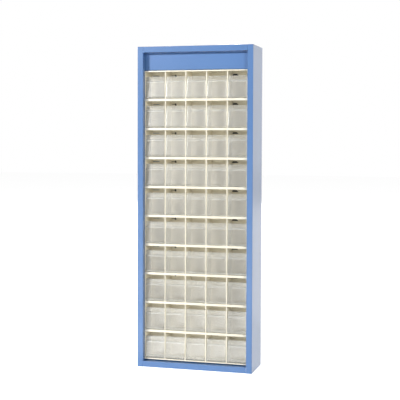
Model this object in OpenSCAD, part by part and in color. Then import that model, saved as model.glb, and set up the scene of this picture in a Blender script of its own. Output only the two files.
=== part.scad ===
// Parts bin cabinet: an open-fronted, folded-sheet steel cabinet that holds a stack of
// moulded housings, each with a row of clear bins that tip forward on trunnion pins.
// Millimetres. The origin is the middle of the footprint on the floor, the front faces -Y,
// the right-hand side is +X and up is +Z.

/* [Cabinet] */
// Overall width across the two side panels
cab_w = 666; // [460:1:1200]
// Overall height from the floor to the top sheet
cab_h = 1812; // [600:1:2200]
// Overall depth from the front frame to the rear flanges
cab_d = 242; // [200:1:400]
// Thickness of the folded steel sheet
sheet_t = 1.2; // [0.8:0.1:2]
// Inside radius of the folds
fold_r = 1.6; // [0.5:0.1:4]
// Face width of the front stiles and of the top and bottom rails
frame_w = 33; // [20:1:60]
// Depth of the return fold behind each stile
return_d = 30; // [8:1:30]
// Width of the rear flanges that the back panel lies on
rear_flange_w = 18; // [10:1:40]
// How far the header apron above the housings stands back from the front frame
header_d = 38; // [34:1:60]

/* [Housings] */
// Number of stacked housings
rows = 10; // [1:1:12]
// Number of bins in each housing
cols = 5; // [1:1:6]
// Height of one housing
row_h = 163.6; // [90:0.1:260]
// Gap between stacked housings, which each hang on their own hooks
row_gap = 0.4; // [0.2:0.1:2]
// Width of one housing
housing_w = 600; // [300:1:1000]
// Depth of one housing
housing_d = 121; // [90:1:200]
// How far the housings stand back from the front frame
recess = 32; // [0:1:60]
// Height of the underside of the lowest housing above the floor
stack_z = 39; // [34:1:120]
// Wall thickness of the housings
wall_t = 3; // [2:0.5:5]
// Width of the posts between neighbouring bins
post_w = 4.4; // [4:0.2:14]
// Depth of the posts
post_d = 14; // [10:1:30]
// Height of the lip along the front of each housing's roof
roof_lip_h = 6.5; // [4:0.5:12]
// Depth of the lip along the front of each housing's roof
roof_lip_d = 6; // [3:0.5:10]
// Height of the lip along the front of each housing's base
base_lip_h = 6; // [4:0.5:12]

/* [Bins] */
// Gap between a bin and the posts beside it
bin_gap = 0.8; // [0.5:0.1:3]
// Wall thickness of the bins
bin_t = 2; // [1.2:0.1:3]
// Height of the bin's rim above the underside of its housing
rim_z = 131; // [60:1:240]
// Lean of the bin's front face from the vertical, in degrees
front_lean = 6.25; // [0:0.25:12]
// Radius of the rounded vertical edges of the bin's front
front_edge_r = 5; // [2:0.5:10]
// Radius of the rounded foot of the bin, about its pivot
heel_r = 12; // [8:0.5:16]
// Radius of the rounded bottom rear edge of the bin
tail_r = 22; // [8:1:40]
// Height of the bottom edge of the finger pull above the underside of the housing
pull_z = 97; // [60:1:120]
// Radius of the finger pull's hood
pull_r = 11; // [8:0.5:16]

/* [Pivots] */
// Distance of the pivot behind the front plane of the housing
pivot_y = 9.5; // [8:0.5:16]
// Height of the pivot above the underside of the housing
pivot_z = 17; // [14:0.5:30]
// Radius of the trunnion pins
pin_r = 3; // [2:0.1:4]
// Length of each trunnion pin beyond the bin's side
pin_l = 2.4; // [2:0.1:4]
// Radial clearance between a pin and its socket
pin_clear = 0.06; // [0.02:0.01:0.1]

/* [Hanging] */
// Distance of each mounting upright's middle from the middle of the cabinet
upright_x = 184; // [120:1:260]
// Face width of the mounting uprights
upright_w = 70; // [40:1:120]
// Height of the hanging slots' top edge above the underside of the housing
slot_z = 143; // [100:1:156]

/* [Hidden] */
$fn = 48;
eps = 0.01;
front_y = -cab_d / 2;
header_y = front_y + header_d;
header_z = stack_z + rows * (row_h + row_gap) + 2;
rear_y = cab_d / 2;
side_x = cab_w / 2;
open_x = side_x - frame_w;
back_t = sheet_t;
back_y = rear_y - sheet_t - back_t;
face_y = front_y + recess;
pitch = housing_w / cols;
row_pitch = row_h + row_gap;
bay_w = pitch - post_w;
bin_w = bay_w - 2 * bin_gap;
bin_x = [for (c = [0 : cols - 1]) (c - (cols - 1) / 2) * pitch];
back_wall_t = 2.5;
rest_y = 80;
rest_w = 4;
bin_floor_z = pivot_z - heel_r;
// the bin's side outline: rear edge, chamfer under the roof, and stop lugs
tail_y = 84.5;
tail_z = bin_floor_z + tail_r;
back_lean = 3.2 / 86;
back_top = [109.7, 113];
chamfer_low = [105, 118.9];
chamfer_high = [90.4, rim_z];
lug_top = 119.4;
lug_w = 12;
lug_x = 44;
upright_depth = back_y - (face_y + housing_d);
upright_z0 = frame_w;
upright_z1 = stack_z + rows * row_pitch - 4;
upright_foot = 16;
hook_t = 2;
hook_x = [-154, 197];
hook_w = [7, 24];
slots = [[-272, 40, 3], [-173, 33, 3], [-154, 9, 8], [197, 36, 5.5]];
post_setback = 2;
socket_depth = pin_l - bin_gap + 0.2;

steel_blue = [0.46, 0.63, 0.83];
ivory = [0.90, 0.88, 0.80];
clear = [0.84, 0.85, 0.84];
enamel_black = [0.06, 0.06, 0.065];

// front line of a bin at height z, as a distance behind the housing's front plane
function front_at(z, inset = 0) =
    pivot_y - (heel_r - inset) / cos(front_lean) + (z - pivot_z) * tan(front_lean);

// extrudes a side outline drawn as [depth, height] along X, from x0 to x1
module along_x(x0, x1) {
    translate([x0, 0, 0])
        rotate([90, 0, 90])
            linear_extrude(x1 - x0) children();
}

// a sheet-metal corner in plan: two legs of length a (along X) and b (along Y) with a round fold
module corner_2d(a, b) {
    r = fold_r + sheet_t;
    translate([r, 0]) square([a - r, sheet_t]);
    translate([0, r]) square([sheet_t, b - r]);
    translate([r, r]) intersection() {
        difference() {
            circle(r);
            circle(fold_r);
        }
        translate([-r, -r]) square(r);
    }
}

// one side panel for the left: front stile, return fold, side wall and rear flange
module side_panel() {
    color(steel_blue)
        difference() {
            translate([-side_x, 0, 0])
                linear_extrude(cab_h) {
                    translate([0, front_y]) corner_2d(frame_w - fold_r, cab_d / 2);
                    translate([frame_w, front_y]) mirror([1, 0]) corner_2d(fold_r * 4, return_d);
                    translate([0, rear_y]) mirror([0, 1]) corner_2d(rear_flange_w, cab_d / 2 + eps);
                }
            // the return folds stop short of the boxed top and of the floor tray
            translate([-open_x - sheet_t - eps, front_y + sheet_t, cab_h - frame_w])
                cube([sheet_t + 2 * eps, return_d, frame_w + eps]);
            translate([-open_x - sheet_t - eps, front_y + sheet_t, -eps])
                cube([sheet_t + 2 * eps, return_d, frame_w + eps]);
        }
}

module left_side_panel() {
    side_panel();
}

module right_side_panel() {
    mirror([1, 0, 0]) side_panel();
}

// a rail between the two stiles, its upper and lower edges folded back
module rail() {
    along_x(-open_x, open_x) translate([front_y, 0]) {
        corner_2d(12, frame_w / 2 + eps);
        translate([0, frame_w]) mirror([0, 1]) corner_2d(12, frame_w / 2);
    }
}

// a level sheet between the side walls, notched at its corners to clear their folds
module panel_sheet(z, y0 = front_y + fold_r + sheet_t, y1 = back_y) {
    fold = fold_r + sheet_t;
    wide0 = max(y0, front_y + fold + 0.2);
    wide1 = min(y1, rear_y - fold);
    translate([0, 0, z])
        linear_extrude(sheet_t) {
            translate([-open_x, y0]) square([2 * open_x, y1 - y0]);
            translate([sheet_t - side_x, wide0]) square([cab_w - 2 * sheet_t, wide1 - wide0]);
        }
}

// front rail and top sheet; behind the rail the sheet runs back, down to the housings as an
// apron, and back again as a stiffening hem
module top_panel() {
    color(steel_blue) {
        translate([0, 0, cab_h - frame_w]) {
            rail();
            panel_sheet(frame_w - sheet_t);
            panel_sheet(0, y1 = header_y + sheet_t / 2);
        }
        along_x(sheet_t - side_x, side_x - sheet_t) translate([header_y, header_z]) {
            corner_2d(14, cab_h - frame_w - header_z - 3);
            translate([0, cab_h - frame_w - header_z - 4]) square([sheet_t, 4 + sheet_t]);
        }
    }
}

module bottom_panel() {
    color(steel_blue) {
        rail();
        panel_sheet(frame_w - sheet_t);
        panel_sheet(0, y1 = front_y + 30);
        // rear skirt with its own foot
        translate([-open_x, back_y - sheet_t, 0])
            cube([2 * open_x, sheet_t, frame_w]);
        panel_sheet(0, y0 = back_y - 30);
    }
}

module back_panel() {
    color(steel_blue)
        translate([fold_r + sheet_t - side_x, back_y, 0])
            cube([cab_w - 2 * (fold_r + sheet_t), back_t, cab_h]);
}

// hat-section upright with a hook for each housing
module upright(x, hook) {
    y0 = face_y + housing_d;
    translate([x, 0, upright_z0])
        linear_extrude(upright_z1 - upright_z0)
            for (side = [0, 1]) mirror([side, 0]) {
                translate([-upright_w / 2, y0]) corner_2d(upright_w / 2 + eps, upright_depth / 2);
                translate([-upright_w / 2 + sheet_t, back_y]) mirror([1, 0]) mirror([0, 1])
                    corner_2d(upright_foot, upright_depth / 2 + eps);
            }
    for (r = [0 : rows - 1])
        translate([hook_x[hook] - hook_w[hook] / 2, 0, stack_z + r * row_pitch + slot_z]) {
            translate([0, y0 - 5, -hook_t])
                cube([hook_w[hook], 5 + sheet_t / 2, hook_t]);
            translate([0, y0 - 5, -hook_t])
                cube([hook_w[hook], 2.2, hook_t + 4]);
        }
}

module mounting_uprights() {
    color(enamel_black) {
        upright(-upright_x, 0);
        upright(upright_x, 1);
    }
}

// one moulded housing with its underside at z = 0 and its front plane at y = 0
module housing() {
    difference() {
        union() {
            difference() {
                translate([-housing_w / 2, 0, 0]) cube([housing_w, housing_d, row_h]);
                for (x = bin_x) {
                    x0 = max(x - (pitch - wall_t) / 2, wall_t - housing_w / 2);
                    x1 = min(x + (pitch - wall_t) / 2, housing_w / 2 - wall_t);
                    translate([x0, post_d + 1, wall_t])
                        cube([x1 - x0, housing_d - back_wall_t - post_d - 1, row_h - 2 * wall_t]);
                }
                for (x = bin_x)
                    translate([x - bay_w / 2, -eps, wall_t])
                        cube([bay_w, post_d + 2, row_h - 2 * wall_t]);
                // the posts stand a little behind the lips
                translate([-housing_w / 2 - eps, -eps, base_lip_h])
                    cube([housing_w + 2 * eps, post_setback + eps, row_h - base_lip_h - roof_lip_h]);
            }
            // lips along the front of the roof and of the base
            translate([-housing_w / 2, 0, row_h - roof_lip_h]) cube([housing_w, roof_lip_d, roof_lip_h]);
            translate([-housing_w / 2, 0, 0]) cube([housing_w, 2.5, base_lip_h]);
            // rib that the closed bins rest on
            translate([-housing_w / 2, rest_y, 0]) cube([housing_w, rest_w, bin_floor_z]);
        }
        // sockets for the trunnion pins; the outermost ones run right through the end walls
        for (x = bin_x) {
            x0 = x - bay_w / 2 - socket_depth;
            x1 = x + bay_w / 2 + socket_depth;
            a = x0 < 1 - housing_w / 2 ? -housing_w / 2 - eps : x0;
            b = x1 > housing_w / 2 - 1 ? housing_w / 2 + eps : x1;
            translate([a, pivot_y, pivot_z])
                rotate([0, 90, 0]) cylinder(r = pin_r + pin_clear, h = b - a);
        }
        // hanging slots in the back wall
        for (s = slots)
            translate([s[0] - s[1] / 2, housing_d - back_wall_t - 1, slot_z - s[2]])
                cube([s[1], back_wall_t + 2, s[2]]);
    }
}

module bin_housings() {
    color(ivory)
        for (r = [0 : rows - 1])
            translate([0, face_y, stack_z + r * row_pitch]) housing();
}

// side outline of a bin, inset from its outer faces; the cavity runs on up through the mouth
module bin_outline(inset, cavity = false) {
    r = heel_r - inset;
    tangent = [pivot_y - r * cos(front_lean), pivot_z + r * sin(front_lean)];
    low = bin_floor_z + inset;
    rear = tail_y + tail_r - inset;
    top = cavity ? rim_z + 10 : rim_z;
    translate([pivot_y, pivot_z]) circle(r);
    translate([tail_y, tail_z]) circle(tail_r - inset);
    polygon(concat(
        [[pivot_y, pivot_z], tangent, [front_at(top, inset), top]],
        cavity ? [[rear + (top - tail_z) * back_lean, top]] : [chamfer_high, chamfer_low, back_top],
        [[rear, tail_z], [tail_y, tail_z], [tail_y, low], [pivot_y, low]]));
}

// upright prism that leans with the front face and rounds its two vertical edges
module lean_prism(inset) {
    w = bin_w / 2 - inset;
    r = front_edge_r - inset;
    translate([0, pivot_y, pivot_z])
        rotate([-front_lean, 0, 0])
            translate([0, -heel_r + inset, -60])
                linear_extrude(240) {
                    translate([-w, r]) square([2 * w, 180]);
                    translate([-w + r, 0]) square([2 * (w - r), 180]);
                    for (side = [-1, 1]) translate([side * (w - r), r]) circle(r);
                }
}

module bin_form(inset, cavity = false) {
    intersection() {
        along_x(-bin_w / 2 + inset, bin_w / 2 - inset) bin_outline(inset, cavity);
        lean_prism(inset);
    }
}

// hooded finger pull across the front, closed at both ends
module finger_pull() {
    w = bin_w / 2 - 4;
    translate([0, front_at(pull_z), pull_z])
        difference() {
            along_x(-w, w) intersection() {
                circle(pull_r);
                translate([-pull_r, 0]) square([pull_r + 1.6, pull_r]);
            }
            along_x(bin_t - w, w - bin_t) circle(pull_r - bin_t);
        }
}

// a box standing on the sloping front face: centre x, height range, width and how far it stands out
module on_front(x, z0, z1, w, out) {
    translate([0, pivot_y, pivot_z])
        rotate([-front_lean, 0, 0])
            translate([x - w / 2, -heel_r - out, z0 - pivot_z])
                cube([w, out + bin_t / 2, z1 - z0]);
}

// one bin with its housing's underside at z = 0 and front plane at y = 0
module bin() {
    difference() {
        bin_form(0);
        bin_form(bin_t, true);
    }
    finger_pull();
    // rounded bead along the front rim and the rails at the ends of the label field
    translate([-bin_w / 2 + 7, front_at(rim_z) - 0.1, rim_z - 1.8])
        rotate([0, 90, 0]) cylinder(r = 1.7, h = bin_w - 14);
    for (x = [-45, 45]) on_front(x, 110, 126, 1.6, 1.2);
    // lugs on the rear edge that meet the roof lip when the bin is fully tipped
    for (x = [-lug_x, lug_x])
        translate([x - lug_w / 2, back_top[0] - 2.2, back_top[1] - 4])
            cube([lug_w, 2, lug_top - back_top[1] + 4]);
    // trunnion pins
    for (x = [-bin_w / 2 - pin_l, bin_w / 2 - 1])
        translate([x, pivot_y, pivot_z])
            rotate([0, 90, 0]) cylinder(r = pin_r, h = pin_l + 1);
}

// the bin in row r counted from the top and column c counted from the left, both from 1
module placed_bin(r, c) {
    color(clear)
        translate([bin_x[c - 1], face_y, stack_z + (rows - r) * row_pitch]) bin();
}

left_side_panel();
right_side_panel();
top_panel();
bottom_panel();
back_panel();
mounting_uprights();
bin_housings();
placed_bin(1, 1);  // bin_r01_c1
placed_bin(1, 2);  // bin_r01_c2
placed_bin(1, 3);  // bin_r01_c3
placed_bin(1, 4);  // bin_r01_c4
placed_bin(1, 5);  // bin_r01_c5
placed_bin(2, 1);  // bin_r02_c1
placed_bin(2, 2);  // bin_r02_c2
placed_bin(2, 3);  // bin_r02_c3
placed_bin(2, 4);  // bin_r02_c4
placed_bin(2, 5);  // bin_r02_c5
placed_bin(3, 1);  // bin_r03_c1
placed_bin(3, 2);  // bin_r03_c2
placed_bin(3, 3);  // bin_r03_c3
placed_bin(3, 4);  // bin_r03_c4
placed_bin(3, 5);  // bin_r03_c5
placed_bin(4, 1);  // bin_r04_c1
placed_bin(4, 2);  // bin_r04_c2
placed_bin(4, 3);  // bin_r04_c3
placed_bin(4, 4);  // bin_r04_c4
placed_bin(4, 5);  // bin_r04_c5
placed_bin(5, 1);  // bin_r05_c1
placed_bin(5, 2);  // bin_r05_c2
placed_bin(5, 3);  // bin_r05_c3
placed_bin(5, 4);  // bin_r05_c4
placed_bin(5, 5);  // bin_r05_c5
placed_bin(6, 1);  // bin_r06_c1
placed_bin(6, 2);  // bin_r06_c2
placed_bin(6, 3);  // bin_r06_c3
placed_bin(6, 4);  // bin_r06_c4
placed_bin(6, 5);  // bin_r06_c5
placed_bin(7, 1);  // bin_r07_c1
placed_bin(7, 2);  // bin_r07_c2
placed_bin(7, 3);  // bin_r07_c3
placed_bin(7, 4);  // bin_r07_c4
placed_bin(7, 5);  // bin_r07_c5
placed_bin(8, 1);  // bin_r08_c1
placed_bin(8, 2);  // bin_r08_c2
placed_bin(8, 3);  // bin_r08_c3
placed_bin(8, 4);  // bin_r08_c4
placed_bin(8, 5);  // bin_r08_c5
placed_bin(9, 1);  // bin_r09_c1
placed_bin(9, 2);  // bin_r09_c2
placed_bin(9, 3);  // bin_r09_c3
placed_bin(9, 4);  // bin_r09_c4
placed_bin(9, 5);  // bin_r09_c5
placed_bin(10, 1);  // bin_r10_c1
placed_bin(10, 2);  // bin_r10_c2
placed_bin(10, 3);  // bin_r10_c3
placed_bin(10, 4);  // bin_r10_c4
placed_bin(10, 5);  // bin_r10_c5
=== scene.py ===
import math

import bmesh
import bpy
from mathutils import Matrix, Vector


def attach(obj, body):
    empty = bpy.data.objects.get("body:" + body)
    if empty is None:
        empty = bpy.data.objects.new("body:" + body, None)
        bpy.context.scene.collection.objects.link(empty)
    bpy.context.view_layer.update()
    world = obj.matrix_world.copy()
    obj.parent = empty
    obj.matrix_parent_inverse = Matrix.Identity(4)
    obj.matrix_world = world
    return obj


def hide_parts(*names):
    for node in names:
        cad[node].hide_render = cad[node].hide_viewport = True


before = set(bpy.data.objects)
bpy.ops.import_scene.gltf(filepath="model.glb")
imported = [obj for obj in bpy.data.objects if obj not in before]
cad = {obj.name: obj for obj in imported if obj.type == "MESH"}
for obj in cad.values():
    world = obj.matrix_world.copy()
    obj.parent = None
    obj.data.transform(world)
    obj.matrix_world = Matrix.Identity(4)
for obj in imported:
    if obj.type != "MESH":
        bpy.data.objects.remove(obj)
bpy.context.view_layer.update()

# ---------------------------------------------------------------------------------------
# Side, top, bottom and back panels, folded from 1.2 mm cold-rolled steel sheet and spot-welded
# where they meet, then sprayed with light blue powder and baked. An apron folded down from the
# top panel closes the front above the top housing.
# ---------------------------------------------------------------------------------------

MM = 0.001
FOLD_RADIUS = 0.8 * MM
PEBBLE, PEBBLE_RELIEF = 2.2 * MM, 0.1 * MM
DRIFTS_PER_METRE = 5.0


def srgb(code):
    """A hex colour as linear red, green, blue and alpha."""
    parts = [int(code[i : i + 2], 16) / 255 for i in (1, 3, 5)]
    return (*[c / 12.92 if c <= 0.04045 else ((c + 0.055) / 1.055) ** 2.4 for c in parts], 1)


def add(tree, kind, inputs=None, **settings):
    """Adds a node, sets its settings, and sets or links its inputs."""
    made = tree.nodes.new("ShaderNode" + kind)
    for name, value in settings.items():
        setattr(made, name, value)
    for name, value in (inputs or {}).items():
        if isinstance(value, bpy.types.NodeSocket):
            tree.links.new(value, made.inputs[name])
        else:
            made.inputs[name].default_value = value
    return made


def new_finish(name):
    """An empty material of that name, its node tree and the socket its surface goes into."""
    finish = bpy.data.materials.new(name)
    finish.use_nodes = True
    finish.node_tree.nodes.clear()
    surface = add(finish.node_tree, "OutputMaterial").inputs["Surface"]
    return finish, finish.node_tree, surface


def coat_sheet_metal(names, finish):
    """Gives the CAD's own sheet metal parts one finish."""
    for name in names:
        cad[name].data.materials.clear()
        cad[name].data.materials.append(finish)


# Polyester powder coat: a glossy but slightly pebbled skin about 0.08 mm thick. The pebbles
# (orange peel) are 1 to 2 mm across and spread each reflection into a soft glow, which the
# clear resin over the pigment makes stronger where the sheet is seen at a slant. The colour
# drifts a little, over about 200 mm, where the powder is thicker. Folded edges are rounded.
powder_coat, tree, surface = new_finish("powder_coated_steel_light_blue")
where = add(tree, "TexCoord").outputs["Object"]
drift = add(tree, "TexNoise", {"Vector": where, "Scale": DRIFTS_PER_METRE, "Detail": 2.0})
blue = add(
    tree,
    "MixRGB",
    {"Fac": drift.outputs["Fac"], "Color1": srgb("#4973aa"), "Color2": srgb("#4f7ab1")},
)
peel = add(tree, "TexNoise", {"Vector": where, "Scale": 1 / PEBBLE, "Detail": 1.0})
gloss = add(tree, "MapRange", {"Value": peel.outputs["Fac"], "To Min": 0.30, "To Max": 0.40})
rounded = add(tree, "Bevel", {"Radius": FOLD_RADIUS}, samples=4)
pebbled = add(
    tree,
    "Bump",
    {
        "Height": peel.outputs["Fac"],
        "Strength": 0.25,
        "Distance": PEBBLE_RELIEF,
        "Normal": rounded.outputs["Normal"],
    },
)
coat = add(
    tree,
    "BsdfPrincipled",
    {
        "Base Color": blue.outputs["Color"],
        "Roughness": gloss.outputs["Result"],
        "IOR": 1.5,
        "Coat Weight": 1.0,
        "Coat Roughness": 0.2,
        "Coat IOR": 1.5,
        "Normal": pebbled.outputs["Normal"],
    },
)
tree.links.new(coat.outputs["BSDF"], surface)

coat_sheet_metal(
    ("left_side_panel", "right_side_panel", "top_panel", "bottom_panel", "back_panel"),
    powder_coat,
)

# ---------------------------------------------------------------------------------------
# Two uprights behind the housings, rolled from steel strip to a hat section, with a hook for
# each housing. They are dipped in black enamel and spot-welded to the back panel. Their
# near-black is also painted shade: it makes the hanging slots in the housings read dark.
# ---------------------------------------------------------------------------------------

SAGS_PER_METRE, SAG_RELIEF = 30.0, 0.3 * MM

# Dipped enamel: nearly black, which paints the shade seen through the housings' slots, with a
# low satin and slow sags about 33 mm long.
enamel_painted_shade, tree, surface = new_finish("enamelled_steel_painted_shade")
where = add(tree, "TexCoord").outputs["Object"]
sag = add(tree, "TexNoise", {"Vector": where, "Scale": SAGS_PER_METRE, "Detail": 2.0})
painted_shade_black = add(
    tree,
    "MixRGB",
    {"Fac": sag.outputs["Fac"], "Color1": srgb("#26262a"), "Color2": srgb("#303036")},
)
sagged = add(
    tree, "Bump", {"Height": sag.outputs["Fac"], "Strength": 0.2, "Distance": SAG_RELIEF}
)
enamel = add(
    tree,
    "BsdfPrincipled",
    {
        "Base Color": painted_shade_black.outputs["Color"],
        "Roughness": 0.45,
        "IOR": 1.5,
        "Normal": sagged.outputs["Normal"],
    },
)
tree.links.new(enamel.outputs["BSDF"], surface)
coat_sheet_metal(("mounting_uprights",), enamel_painted_shade)

# ---------------------------------------------------------------------------------------
# Ten bin housings. Each is one injection moulding in ivory ABS, with five bays, and hangs by
# slots in its back wall from the hooks of the steel uprights.
# ---------------------------------------------------------------------------------------

CLOUDS_PER_METRE = 14.0
GRAIN, GRAIN_RELIEF = 0.9 * MM, 0.05 * MM

# Moulded ABS: satin, with a soft broad sheen and the even spark-eroded texture of the mould,
# which is about 0.3 mm fine and drawn three times as coarse so that it shows. Ivory pigment
# warms the light that bounces about inside the bays.
ivory_abs, tree, surface = new_finish("moulded_abs_ivory")
where = add(tree, "TexCoord").outputs["Object"]
cloud = add(tree, "TexNoise", {"Vector": where, "Scale": CLOUDS_PER_METRE, "Detail": 2.0})
ivory = add(
    tree,
    "MixRGB",
    {"Fac": cloud.outputs["Fac"], "Color1": srgb("#f6efd9"), "Color2": srgb("#faf4e3")},
)
grain = add(tree, "TexNoise", {"Vector": where, "Scale": 1 / GRAIN, "Detail": 1.0})
textured = add(
    tree, "Bump", {"Height": grain.outputs["Fac"], "Strength": 0.2, "Distance": GRAIN_RELIEF}
)
plastic = add(
    tree,
    "BsdfPrincipled",
    {
        "Base Color": ivory.outputs["Color"],
        "Roughness": 0.42,
        "IOR": 1.53,
        "Normal": textured.outputs["Normal"],
    },
)
tree.links.new(plastic.outputs["BSDF"], surface)

# Sizes in millimetres. A housing is drawn from its own front plane and underside.
ROWS, COLS, ROW_PITCH, BAY_PITCH = 10, 5, 164.0, 120.0
STACK_Y, STACK_Z = -89.0, 39.0  # front plane of the stack, underside of its lowest housing
HOUSING_H, HOUSING_D = 163.6, 121.0
SHELL, SHELL_SETBACK, BACK_WALL = 3.0, 1.0, 2.5
ROOF_LIP_H, ROOF_LIP_D = 6.5, 6.0
SILL_H, SILL_D = 6.0, 2.5
STOP_RIB_Y, STOP_RIB_Z = (80, 84), (1, 5)  # the closed bin rests on this rib
POST_W, POST_Y = 4.4, (2.0, 15.0)
SLOT_TOP = 143.0
SLOTS = ((-292, -252, 3), (-189.5, -156.5, 3), (-158.5, -149.5, 8), (179, 215, 5.5))


def soften_edges(mesh, faces, radius, segments):
    """Rounds every edge of some faces to a radius in millimetres."""
    edges = list(dict.fromkeys(edge for face in faces for edge in face.edges))
    bmesh.ops.bevel(
        mesh, geom=edges, offset=radius * MM, segments=segments, affect="EDGES", profile=0.5
    )


def block(mesh, x, y, z, soften=0.0):
    """A moulded bar or wall between two x, two y and two z, with its edges softened."""
    corners = [mesh.verts.new(Vector((a, b, c)) * MM) for a in x for b in y for c in z]
    sides = ((0, 1, 3, 2), (4, 6, 7, 5), (0, 4, 5, 1), (2, 3, 7, 6), (0, 2, 6, 4), (1, 5, 7, 3))
    faces = [mesh.faces.new([corners[i] for i in side]) for side in sides]
    if soften:
        soften_edges(mesh, faces, soften, 3)


def demould(shape, name, crease, finish):
    """The shape as a smooth mesh in one finish, sharp where faces meet at over crease degrees."""
    bmesh.ops.recalc_face_normals(shape, faces=shape.faces[:])
    mesh = bpy.data.meshes.new(name)
    shape.to_mesh(mesh)
    shape.free()
    for face in mesh.polygons:
        face.use_smooth = True
    mesh.set_sharp_from_angle(angle=math.radians(crease))
    mesh.materials.append(finish)
    return mesh


def put(name, data, place=(0, 0, 0)):
    """An object that shows the data, at a place in metres."""
    placed = bpy.data.objects.new(name, data)
    bpy.context.scene.collection.objects.link(placed)
    placed.location = place
    return placed


def row_place(row, x=0.0):
    """Where a housing or bin of that row stands, in metres; rows count from the top."""
    return Vector((x, STACK_Y, STACK_Z + (ROWS - row) * ROW_PITCH)) * MM


shape = bmesh.new()
housing_half = BAY_PITCH * COLS / 2
span = (-housing_half, housing_half)
depth = (SHELL_SETBACK, HOUSING_D)
block(shape, span, depth, (HOUSING_H - SHELL, HOUSING_H))
block(shape, span, depth, (0, SHELL))
block(shape, span, (0, ROOF_LIP_D), (HOUSING_H - ROOF_LIP_H, HOUSING_H), 1.2)
block(shape, span, (0, SILL_D), (0, SILL_H), 1.0)
block(shape, (-housing_half + 1, housing_half - 1), STOP_RIB_Y, STOP_RIB_Z, 0.8)

# six walls, each behind a post, reach a little into the roof and the base; the two at the
# ends stand inside the housing's width
for k in range(COLS + 1):
    x = (k - COLS / 2) * BAY_PITCH
    to_left, to_right = float(k > 0), float(k < COLS)
    between_bays = 0 < k < COLS
    post, wall = POST_W / 2, SHELL / 2 if between_bays else SHELL
    block(
        shape,
        (x - post * to_left, x + post * to_right),
        POST_Y,
        (2, HOUSING_H - 2),
        0.9 if between_bays else 0.6,
    )
    block(
        shape,
        (x - wall * to_left, x + wall * to_right),
        (POST_Y[1] - 1, HOUSING_D - 1),
        (2, HOUSING_H - 2),
    )

# the back wall stands in strips round its four hanging slots, whose tops are level
back = (HOUSING_D - BACK_WALL, HOUSING_D)
levels = sorted({SLOT_TOP} | {SLOT_TOP - drop for _, _, drop in SLOTS}, reverse=True)
block(shape, span, back, (levels[0], HOUSING_H))
block(shape, span, back, (0, levels[-1]))
for upper, lower in zip(levels, levels[1:]):
    left = -housing_half
    for start, end, drop in SLOTS:
        if SLOT_TOP - drop <= lower:
            if start > left:
                block(shape, (left, start), back, (lower, upper))
            left = end
    block(shape, (left, housing_half), back, (lower, upper))

housing = demould(shape, "ivory_housing", 32, ivory_abs)
for r in range(1, ROWS + 1):
    piece = put(f"ivory_housing_r{r:02d}", housing, row_place(r))
    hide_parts("bin_housings")
    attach(piece, "cabinet")

# ---------------------------------------------------------------------------------------
# Fifty tip-out bins, one for each bay. Each is injection moulded in clear polystyrene with
# 2 mm walls, a hooded finger pull, a label field and two trunnion pins that snap into the
# housing near its lower front edge.
# ---------------------------------------------------------------------------------------

FLOW_MARKS_PER_METRE, FLOW_RELIEF = 26.0, 0.6 * MM

# General-purpose polystyrene, injection moulded: clear, with a bright gloss on both skins of
# each wall. Square on, a wall lets nearly everything through and lays a thin even glint of
# the room over it. Seen along the wall, at its rounded corners and edges, both skins and the
# light caught between them add up to a pale silvery white. The thin skins carry both effects
# as a small share of a bright, slightly spread mirror, and flow marks about 40 mm long bend
# it a little. The share is a trifle larger at the bin's foot. That is a painted sheen, which
# lightens the lower front as light bounced up from the housing's floor would.
clear_ps, tree, surface = new_finish("clear_polystyrene")
where = add(tree, "TexCoord").outputs["Object"]
flow = add(
    tree,
    "TexNoise",
    {"Vector": where, "Scale": FLOW_MARKS_PER_METRE, "Detail": 1.0, "Distortion": 0.6},
)
wavy = add(
    tree, "Bump", {"Height": flow.outputs["Fac"], "Strength": 0.06, "Distance": FLOW_RELIEF}
)
slant = add(tree, "LayerWeight", {"Blend": 0.5, "Normal": wavy.outputs["Normal"]})
slanted = add(
    tree,
    "MapRange",
    {"Value": slant.outputs["Facing"], "To Min": 0.0, "To Max": 0.45},
    interpolation_type="SMOOTHERSTEP",
)
height = add(tree, "SeparateXYZ", {"Vector": where}).outputs["Z"]
# painted sheen: the share grows towards the foot so the bin's lower front looks lighter
square_on = add(
    tree,
    "MapRange",
    {"Value": height, "From Min": 10 * MM, "From Max": 100 * MM, "To Min": 0.11, "To Max": 0.1},
)
share = add(
    tree,
    "Math",
    {0: slanted.outputs["Result"], 1: square_on.outputs["Result"]},
    operation="ADD",
)
glint = add(
    tree,
    "BsdfPrincipled",
    {
        "Base Color": srgb("#fafbfa"),
        "Metallic": 0.8,
        "Roughness": 0.27,
        "IOR": 1.59,
        "Normal": wavy.outputs["Normal"],
    },
)
straight = add(tree, "BsdfTransparent", {"Color": srgb("#fefefe")})
clear = add(
    tree,
    "MixShader",
    {0: share.outputs["Value"], 1: straight.outputs["BSDF"], 2: glint.outputs["BSDF"]},
)
tree.links.new(clear.outputs["Shader"], surface)

# Sizes in millimetres, as depth from the housing's front plane and height over its underside.
# The closed bin's front leans back, in degrees, from a heel that is round about the pins.
BIN_HALF, WALL, RIM_Z = 57.0, 2.0, 131.0
PIVOT, HEEL_R = (9.5, 17.0), 12.0
TAIL, TAIL_R = (84.5, 27.0), 22.0
LEAN = 6.25
FRONT_LEVELS = (104.0, 76.0, 48.0, 20.0)
REAR_RIM_OUTSIDE, REAR_RIM_INSIDE = (109.7, 112.6), (107.76, 114.2)
MOUTH = ((90.4, 130.2), (105.0, 118.1))  # the side walls' top edge between the two rims
HOOD_Z, HOOD_R, HOOD_HALF = 97.0, 11.0, 53.0
BEAD_R, BEAD_HALF = 1.7, 50.0
LABEL_RAIL_X, LABEL_RAIL_W, LABEL_RAIL_Z = 45.0, 1.6, (110, 126)
LUG_X, LUG_W, LUG_Y, LUG_Z = 44.0, 12.0, (107.5, 109.4), (109, 119.3)
PIN_R, PIN_X = 3.0, (56.0, 59.4)


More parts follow.
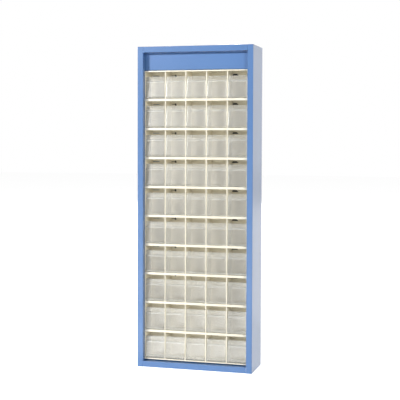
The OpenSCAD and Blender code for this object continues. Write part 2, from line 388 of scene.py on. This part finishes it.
def front_line(z, inset=0.0):
    """Depth of the leaning front at a height."""
    lean = math.radians(LEAN)
    return PIVOT[0] - (HEEL_R - inset) / math.cos(lean) + (z - PIVOT[1]) * math.tan(lean)


def arc(centre, radius, start, end, steps, fillet):
    """Points of a side outline on an arc, each as depth, height, inward direction and fillet."""
    made = []
    for i in range(steps + 1):
        a = math.radians(start + (end - start) * i / steps)
        y, z = math.cos(a), math.sin(a)
        f = fillet[0] + (fillet[1] - fillet[0]) * i / steps
        made.append((centre[0] + radius * y, centre[1] + radius * z, -y, -z, f))
    return made


def bin_side(inset):
    """Side outline of the bin's outer skin, or of its cavity, from front rim to rear rim."""
    front_fillet, foot_fillet = 5.0 - inset, 2.6 - inset * 0.8
    lean = math.radians(LEAN)
    top = RIM_Z - 0.8
    outline = [(front_line(top, inset), top, 1 / math.cos(lean), 0.0, front_fillet)]
    for z in FRONT_LEVELS:
        outline.append((front_line(z, inset), z, math.cos(lean), -math.sin(lean), front_fillet))
    outline += arc(PIVOT, HEEL_R - inset, 180 - LEAN, 270, 8, (front_fillet, foot_fillet))
    outline += arc(TAIL, TAIL_R - inset, 270, 360, 9, (foot_fillet, foot_fillet))
    rear = REAR_RIM_INSIDE if inset else REAR_RIM_OUTSIDE
    outline.append((*rear, -0.62, 0.78, foot_fillet))
    return outline


def hood_side(radius, fillet):
    """Side outline of the finger pull's hood, from where it leaves the front to its lower edge."""
    top = arc((front_line(HOOD_Z), HOOD_Z), radius, 90 - LEAN, 180, 9, (fillet, fillet))
    return [top[0][:2] + (0.11, -0.99, fillet)] + top[1:-1] + [top[-1][:2] + (1.0, 0.0, fillet)]


def loop_across(point, half, steps=4):
    """One line of the skin across the bin, from its left side over both fillets to its right.

    A point 1 mm beyond each end of a fillet keeps the flat walls flat in the shading.
    """
    y, z, ny, nz, fillet = point
    right = [(half - fillet - 1.0, y, z)]
    for k in range(steps + 1):
        t = math.radians(90 * k / steps)
        inward = fillet * (1 - math.cos(t))
        right.append((half - fillet + fillet * math.sin(t), y + ny * inward, z + nz * inward))
    right.append((half, y + ny * (fillet + 1.0), z + nz * (fillet + 1.0)))
    return [(-x, b, c) for x, b, c in reversed(right)] + right


def skin(mesh, outline, half, side, outward):
    """Adds a curved skin from a side outline; returns its open edge as a ring of vertices."""
    rows = [
        [mesh.verts.new(Vector(p) * MM) for p in loop_across(point, half)] for point in outline
    ]
    order = (lambda f: f) if outward else (lambda f: f[::-1])
    for upper, lower in zip(rows, rows[1:]):
        for i in range(len(upper) - 1):
            mesh.faces.new(order([upper[i], lower[i], lower[i + 1], upper[i + 1]]))
    left = [mesh.verts.new(Vector((-half, y, z)) * MM) for y, z in side]
    right = [mesh.verts.new(Vector((half, y, z)) * MM) for y, z in side]
    mesh.faces.new(order([row[0] for row in rows][::-1] + left))
    mesh.faces.new(order([row[-1] for row in rows] + right[::-1]))
    return rows[0] + right + rows[-1][::-1] + left[::-1]


def round_rim(mesh, outer, inner, rise, steps=4):
    """Joins two rings of vertices with a rounded lip that rises along the given directions."""
    rings = [outer]
    for k in range(1, steps):
        s = k / steps
        up = math.sqrt(1 - (2 * s - 1) ** 2)
        rings.append(
            [
                mesh.verts.new(a.co.lerp(b.co, s) + Vector(r) * (up * MM))
                for a, b, r in zip(outer, inner, rise)
            ]
        )
    rings.append(inner)
    for a, b in zip(rings, rings[1:]):
        for i in range(len(a)):
            j = (i + 1) % len(a)
            mesh.faces.new([a[i], a[j], b[j], b[i]])


def rod(mesh, x, y, z, radius, segments, chamfer):
    """A round bar between two x, about an axis at y and z, with chamfered ends."""
    x0, x1 = x
    turns = [2 * math.pi * i / segments for i in range(segments)]
    slim = radius - chamfer
    rings = [
        [mesh.verts.new(Vector((at, y + r * math.cos(t), z + r * math.sin(t))) * MM) for t in turns]
        for at, r in ((x0, slim), (x0 + chamfer, radius), (x1 - chamfer, radius), (x1, slim))
    ]
    for a, b in zip(rings, rings[1:]):
        for i in range(segments):
            j = (i + 1) % segments
            mesh.faces.new([a[i], a[j], b[j], b[i]])
    mesh.faces.new(rings[0][::-1])
    mesh.faces.new(rings[-1])


def rail(mesh, middle, width, corners, soften):
    """A small moulded rib about a middle x whose side view has the given corners."""
    ends = (middle - width / 2, middle + width / 2)
    left, right = [[mesh.verts.new(Vector((x, y, z)) * MM) for y, z in corners] for x in ends]
    made = [mesh.faces.new(left), mesh.faces.new(right[::-1])]
    for i in range(len(left)):
        j = (i + 1) % len(left)
        made.append(mesh.faces.new([left[j], left[i], right[i], right[j]]))
    bmesh.ops.recalc_face_normals(mesh, faces=made)
    soften_edges(mesh, made, soften, 2)


# the box of the bin: outer skin, cavity and the rounded rim between them
shape = bmesh.new()
outer = skin(shape, bin_side(0), BIN_HALF, MOUTH, True)
inner = skin(shape, bin_side(WALL), BIN_HALF - WALL, MOUTH, False)
across = len(loop_across(bin_side(0)[0], BIN_HALF))
rise = (
    [(0, 0, 0.8)] * across
    + [(0, 0.2, 0.75), (0, 0.55, 0.6)]
    + [(0, 0.5, 0.62)] * across
    + [(0, 0.55, 0.6), (0, 0.2, 0.75)]
)
round_rim(shape, outer, inner, rise)

# the finger pull: a quarter-round hood, closed at both ends and open underneath
root = [(front_line(HOOD_Z) + 0.2, HOOD_Z)]
outer = skin(shape, hood_side(HOOD_R, 3.0), HOOD_HALF, root, True)
inner = skin(shape, hood_side(HOOD_R - WALL, 1.2), HOOD_HALF - WALL, root, False)
rise = [(0, 0.3, 0)] * across + [(0, 0, 0)] + [(0, 0, -0.6)] * across + [(0, 0, 0)]
round_rim(shape, outer, inner, rise)

# the bead that stiffens the front rim, the rails of the label field, and the two rear lugs
rod(shape, (-BEAD_HALF, BEAD_HALF), front_line(RIM_Z) - 0.1, RIM_Z - 1.8, BEAD_R, 12, 1.0)
low, high = LABEL_RAIL_Z
for x in (-LABEL_RAIL_X, LABEL_RAIL_X):
    side = ((low, 0.2), (high, 0.2), (high, -1.2), (low, -1.2))
    rail(shape, x, LABEL_RAIL_W, [(front_line(z) + stand, z) for z, stand in side], 0.35)
(near, far), (low, high) = LUG_Y, LUG_Z
for x in (-LUG_X, LUG_X):
    rail(shape, x, LUG_W, [(near, low), (far, low), (far, high), (near, high)], 0.5)

# the trunnion pins
for hand in (-1, 1):
    rod(shape, sorted(hand * x for x in PIN_X), *PIVOT, PIN_R, 20, 0.4)

clear_bin = demould(shape, "clear_bin", 35, clear_ps)
for r in range(1, ROWS + 1):
    for c in range(1, COLS + 1):
        name = f"bin_r{r:02d}_c{c}"
        piece = put(f"clear_{name}", clear_bin, row_place(r, (c - 3) * BAY_PITCH))
        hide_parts(name)
        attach(piece, name)

# ---------------------------------------------------------------------------------------
# The studio: a plain pale floor and a white backdrop. A distant key softbox stands at the
# left and a weaker one at the right, a small one lights the side, another the back, and a
# low panel and a bright patch of floor in front lift the lowest rows.
# ---------------------------------------------------------------------------------------

FLOOR_HALF = 30.0  # metres
# How strongly the floor and the room shine, by what looks at them; 1 is white.
FLOOR_LIFT, FLOOR_MIRRORED = 0.9, 0.68
ROOM, WALL_MIRRORED, BACKDROP = 0.08, 0.22, 1.0


def rays(tree):
    """Sockets that are 1 for a reflected ray, and for one from the camera or through plastic."""
    path = add(tree, "LightPath")
    seen = add(
        tree,
        "Math",
        {0: path.outputs["Is Camera Ray"], 1: path.outputs["Is Transmission Ray"]},
        operation="MAXIMUM",
    )
    return path.outputs["Is Glossy Ray"], seen.outputs["Value"]


def white_light(tree, strength):
    """A white background of that strength."""
    made = add(tree, "Background", {"Color": srgb("#ffffff"), "Strength": strength})
    return made.outputs["Background"]


# Matt white sweep paper. Seen directly or through clear plastic it comes out white, and in a
# reflection a pale grey. It still darkens where the cabinet keeps light off it.
sweep, tree, surface = new_finish("matt_white_sweep_paper")
mirrored, seen = rays(tree)
lift = add(tree, "Math", {0: seen, 1: FLOOR_LIFT}, operation="MULTIPLY")
glow = add(
    tree,
    "Math",
    {0: mirrored, 1: FLOOR_MIRRORED, 2: lift.outputs["Value"]},
    operation="MULTIPLY_ADD",
)
paper = add(tree, "BsdfDiffuse", {"Color": srgb("#eeeeee")})
white = add(tree, "Emission", {"Color": srgb("#ffffff"), "Strength": glow.outputs["Value"]})
both = add(tree, "AddShader", {0: paper.outputs["BSDF"], 1: white.outputs["Emission"]})
tree.links.new(both.outputs["Shader"], surface)

shape = bmesh.new()
bmesh.ops.create_grid(shape, x_segments=8, y_segments=8, size=FLOOR_HALF)
floor_mesh = bpy.data.meshes.new("studio_floor")
shape.to_mesh(floor_mesh)
shape.free()
floor_mesh.materials.append(sweep)
put("studio_floor", floor_mesh)

# The room gives little light of its own. It looks white, and reflections show its backdrop
# and ceiling white and the wall in front of the cabinet, where the camera stands, darker.
world = bpy.data.worlds.new("white_studio")
bpy.context.scene.world = world
world.use_nodes = True
tree = world.node_tree
tree.nodes.clear()
mirrored, seen = rays(tree)
towards = add(tree, "SeparateXYZ", {"Vector": add(tree, "TexCoord").outputs["Generated"]})
behind = add(
    tree, "MapRange", {"Value": towards.outputs["Y"], "From Min": -0.1, "From Max": 0.4}
)
above = add(
    tree, "MapRange", {"Value": towards.outputs["Z"], "From Min": 0.08, "From Max": 0.3}
)
pale = add(
    tree,
    "Math",
    {0: behind.outputs["Result"], 1: above.outputs["Result"]},
    operation="MAXIMUM",
)
walls = add(
    tree, "MapRange", {"Value": pale.outputs["Value"], "To Min": WALL_MIRRORED, "To Max": 1.0}
)
unseen = add(
    tree,
    "MixShader",
    {0: mirrored, 1: white_light(tree, ROOM), 2: white_light(tree, walls.outputs["Result"])},
)
whole = add(
    tree,
    "MixShader",
    {0: seen, 1: unseen.outputs["Shader"], 2: white_light(tree, BACKDROP)},
)
add(tree, "OutputWorld", {"Surface": whole.outputs["Shader"]})


def softbox(name, azimuth, distance, height, aim, size, power):
    """A rectangular softbox at an azimuth to the right of the front, pointed at a height.

    The azimuth is in degrees, the power in watts, and all other measures are in metres.
    """
    lamp = bpy.data.lights.new(name, "AREA")
    lamp.shape = "RECTANGLE"
    lamp.size, lamp.size_y = size
    lamp.energy = power
    a = math.radians(azimuth)
    placed = put(name, lamp, (math.sin(a) * distance, -math.cos(a) * distance, height))
    look = Vector((0, 0, aim)) - placed.location
    placed.rotation_euler = look.to_track_quat("-Z", "Y").to_euler()
    return placed


softbox("left_softbox", -36, 14.0, 5.4, 1.0, (1.65, 1.65), 1720)
softbox("right_softbox", 38, 14.0, 5.4, 1.0, (1.65, 1.65), 780)
softbox("side_softbox", 100, 4.0, 2.0, 1.2, (1.5, 1.5), 12)
softbox("back_softbox", 195, 14.0, 5.4, 1.0, (1.65, 1.65), 900)
softbox("low_panel", -15, 2.1, 0.17, 0.15, (1.2, 0.3), 1.5)
floor_glow = softbox("floor_glow", -22, 0.58, 0.02, 0.5, (0.8, 0.4), 0.85)
floor_glow.visible_camera = False

# A long lens at chest height, to the right of the front and turned a little down.
lens = bpy.data.cameras.new("camera")
lens.sensor_width = 36
lens.lens = 87.94
lens.shift_y = -0.045
camera = put("camera", lens, (1.486, -5.346, 1.288))
turn = (
    Matrix.Rotation(math.radians(15.531), 3, "Z")
    @ Matrix.Rotation(math.radians(90 - 2.444), 3, "X")
    @ Matrix.Rotation(math.radians(0.167), 3, "Z")
)
camera.rotation_euler = turn.to_euler()
bpy.context.scene.camera = camera
bpy.context.scene.view_settings.view_transform = "Standard"
bpy.context.scene.cycles.transparent_max_bounces = 32
